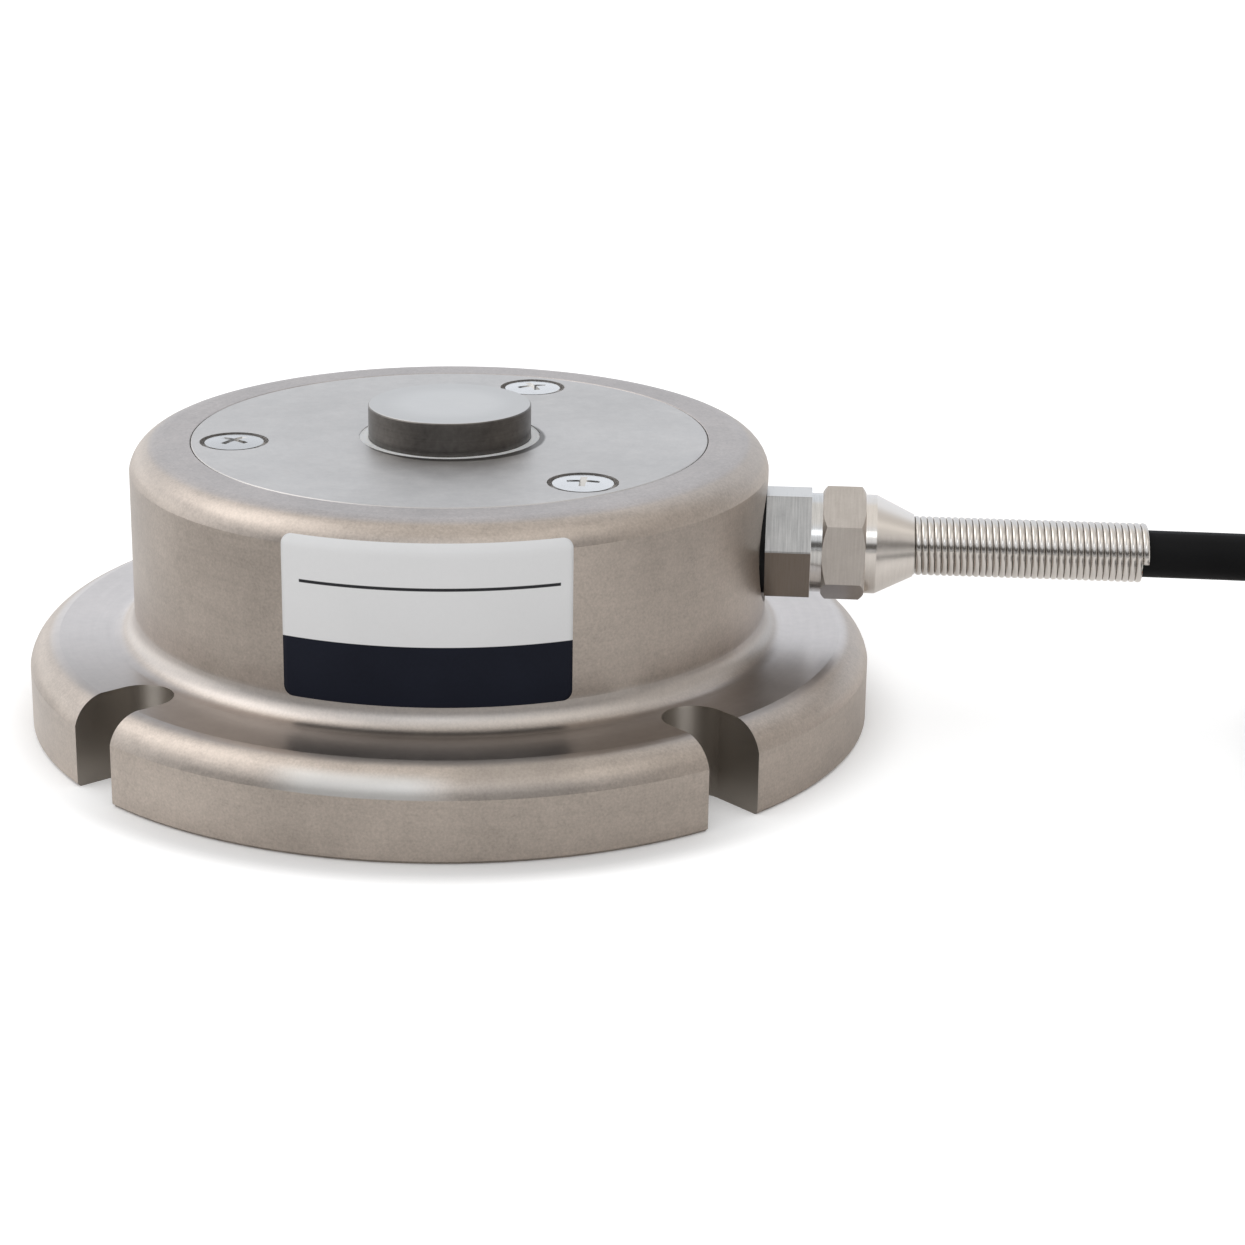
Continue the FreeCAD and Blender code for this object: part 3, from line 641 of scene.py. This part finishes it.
def make_label():
    """A thin sheet on the wall: across is the angle round the axis, up is the wall and the shoulder's arc.

    Each row is as wide as the rounded corners leave it: near an end it loses what a circle of the corner's
    radius takes.
    """
    outer = body_radius + label_stand_off + label_thickness
    outer_round = shoulder_round + label_stand_off + label_thickness
    bend = math.acos((outer - shoulder_radius) / outer_round)
    wall_length = shoulder_level + outer_round * math.sin(bend) - label_foot
    length = wall_length + outer_round * (label_wrap - bend)
    ends = label_corner * (1 - np.cos(np.linspace(0, math.pi / 2, label_corner_rows)))
    between = np.linspace(label_corner, length - label_corner, label_rows)[1:-1]
    up = np.concatenate([ends, between, length - ends[::-1]])
    in_corner = np.clip(label_corner - np.minimum(up, length - up), 0, label_corner)
    half = label_width / 2 - label_corner + np.sqrt(label_corner ** 2 - in_corner ** 2)
    across = np.linspace(-1, 1, label_columns)
    azimuth = (half[:, None] * across[None, :]) / outer + label_turn
    arc = (bend + np.clip((up - wall_length) / outer_round, 0, None))[:, None]
    on_wall = (up <= wall_length)[:, None]
    radius = np.where(on_wall, outer, shoulder_radius + outer_round * np.cos(arc))
    level = np.where(on_wall, (label_foot + up)[:, None], shoulder_level + outer_round * np.sin(arc))
    points = np.stack([
        radius * np.sin(azimuth),
        -radius * np.cos(azimuth),
        level + 0 * azimuth,
    ], axis=-1)
    piece = surface("label_sheet", points, grid_faces(len(up), len(across)), "label_film")
    thick = piece.modifiers.new("thickness", "SOLIDIFY")
    thick.thickness = label_thickness
    thick.offset = -1
    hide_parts("rating_label")
    return piece


def dress_solids():
    """Every solid that stays gets the finish of its slot."""
    for part in frame["record"]["subparts"]:
        node = nodes[part["node"]]
        node.data.materials.clear()
        node.data.materials.append(gland_finishes.get(node.name, finishes.get(part["material_slot"])))


def make_camera():
    """The photograph's camera: its place, its heading, dip and tilt, and a lens moved off centre."""
    level = math.cos(camera_pitch)
    ahead, dip = math.cos(camera_yaw) * level, -math.sin(camera_pitch)
    forward = Vector((math.sin(camera_yaw) * level, ahead, dip))
    side = forward.cross(Vector((0, 0, 1))).normalized()
    above = side.cross(forward)
    right = side * math.cos(camera_roll) + above * math.sin(camera_roll)
    up = above * math.cos(camera_roll) - side * math.sin(camera_roll)
    data = bpy.data.cameras.new("camera")
    data.lens = camera_lens
    data.sensor_width = 36.0
    data.shift_x, data.shift_y = camera_shift
    data.clip_start = 0.01
    camera = bpy.data.objects.new("camera", data)
    turn = Matrix((right, up, -forward)).transposed().to_4x4()
    camera.matrix_world = Matrix.Translation(camera_place) @ turn
    bpy.context.scene.collection.objects.link(camera)
    bpy.context.scene.camera = camera


def make_floor():
    """A wide pale plane: white to the camera, with the cell's shadow, partly painted in front of the flange,
    and of several tones in the metal.

    What the metal mirrors is whiter close to the cell on the left, behind it and on the right, and dark
    far off in front.
    """
    mesh = bpy.data.meshes.new("floor")
    sides = [(-1, -1), (1, -1), (1, 1), (-1, 1)]
    mesh.from_pydata([(floor_reach * x, floor_reach * y, 0) for x, y in sides], [], [(0, 1, 2, 3)])
    floor = bpy.data.objects.new("floor", mesh)
    bpy.context.scene.collection.objects.link(floor)
    finish = Finish("floor", specular=0.0)
    x, y, _ = finish.place.parts()
    radius = (x * x + y * y) ** 0.5
    far = radius.rise(0.25, 0.6) * (0 - y).rise(0.0, 0.2)
    near = y.rise(-0.05, -0.01) * (1 - radius.rise(0.075, 0.095))
    left_back = (0 - x).rise(0.03, 0.05) * near.math("MAXIMUM", near, y.rise(-0.01, 0.02))
    left_near = (0 - x).rise(0.015, 0.04) * radius.inside(flange_radius, 0.076, 0.5 * MM)
    paper = x.rise(-0.08, -0.04).blend((0.68, 0.665, 0.646), (0.84, 0.825, 0.805))
    paper = left_near.blend(paper, (1.0, 0.985, 0.965))
    paper = left_back.blend(x.rise(0.03, 0.08).blend(paper, (1.0, 0.98, 0.96)), (1.0, 1.0, 1.0))
    paper = far.blend(paper, (0.20, 0.195, 0.19))
    seen = finish.place.node("ShaderNodeLightPath", {}, {}, output="Is Camera Ray")
    clear = seen.math("MAXIMUM", seen, seen.other("Is Transmission Ray"))
    in_metal = seen.other("Is Glossy Ray")
    mirrored = in_metal.blend((0.80, 0.785, 0.765), paper)
    reach = {"Distance": shadow_reach}
    open_sky = seen.node("ShaderNodeAmbientOcclusion", {"samples": 8}, reach, output="AO")
    # Painted shadow on the floor in front of the flange; near the cell the lift also fades with ambient
    # occlusion.
    painted_shadow = 1 - radius.rise(flange_radius + 2.0 * MM, flange_radius + shadow_reach)
    painted_shadow = painted_shadow * (0 - y / radius).rise(0.55, 0.95)
    lift = clear * open_sky * (0.40 - painted_shadow * 0.36)
    lift = lift + in_metal * (left_near * 0.16 + x.rise(0.06, 0.09) * 0.10)
    finish.set("Emission Color", lift.vector(lift, lift, lift))
    finish.set("Emission Strength", 1.0)
    mesh.materials.append(finish.dress(clear.blend(mirrored, (0.90, 0.90, 0.90)), 0.9))


def make_lamp(name, place, width, height, power, colour):
    """A soft panel of light that faces the cell."""
    data = bpy.data.lights.new(name, "AREA")
    data.shape = "RECTANGLE"
    data.size, data.size_y = width, height
    data.energy = power
    data.color = colour
    light = bpy.data.objects.new(name, data)
    turn = (place - lamp_target).to_track_quat("Z", "Y").to_matrix().to_4x4()
    light.matrix_world = Matrix.Translation(place) @ turn
    bpy.context.scene.collection.objects.link(light)


def make_world():
    """A white studio for the metal to mirror: bright on the left, cool behind, a dark room low in front."""
    world = bpy.data.worlds.new("studio")
    bpy.context.scene.world = world
    world.use_nodes = True
    tree = world.node_tree
    way = Signal(tree).node("ShaderNodeTexCoord", {}, {}, output="Generated")
    x, y, z = way.parts()
    level = (x * x + y * y) ** 0.5
    left = (0 - x / level).rise(0.45, 0.92) * z.inside(0.42, 0.90, 0.12)
    right = (x / level).rise(0.6, 0.97) * (1 - z.rise(0.75, 0.97))
    beyond = ((y * 0.5 - x * 0.87) / level).rise(0.7, 0.95) * (1 - z.rise(0.15, 0.35))
    window = ((x * 0.77 - y * 0.64) / level).rise(0.75, 0.97) * z.inside(0.65, 0.88, 0.08)
    front = (0 - y / level).rise(0.25, 0.6) * z.inside(0.05, 0.31, 0.06)
    walls = y.rise(0.0, 0.5).blend((0.86, 0.88, 0.91), (0.92, 0.96, 1.02))
    walls = z.rise(0.75, 0.92).blend(walls, (0.90, 0.88, 0.85))
    walls = right.blend(left.blend(walls, (1.40, 1.38, 1.37)), (0.62, 0.592, 0.565))
    walls = window.blend(beyond.blend(walls, (1.60, 1.60, 1.60)), (1.40, 1.36, 1.30))
    room = front.blend(walls, (0.10, 0.095, 0.09))
    seen = way.node("ShaderNodeLightPath", {}, {}, output="Is Camera Ray")
    shade = seen.other("Is Diffuse Ray").blend(room, (0.80, 0.80, 0.80))
    background = tree.nodes["Background"]
    tree.links.new(seen.blend(shade, (1.0, 1.0, 1.0)).socket, background.inputs["Color"])
    background.inputs["Strength"].default_value = 1.0


cable = make_cable()
spring = make_spring()
make_seal()
make_label()
dress_solids()
make_camera()
make_floor()
make_world()
for name, lamp in lamps.items():
    make_lamp(name, **lamp)

bpy.context.scene.view_settings.view_transform = "Standard"
bpy.context.view_layer.update()
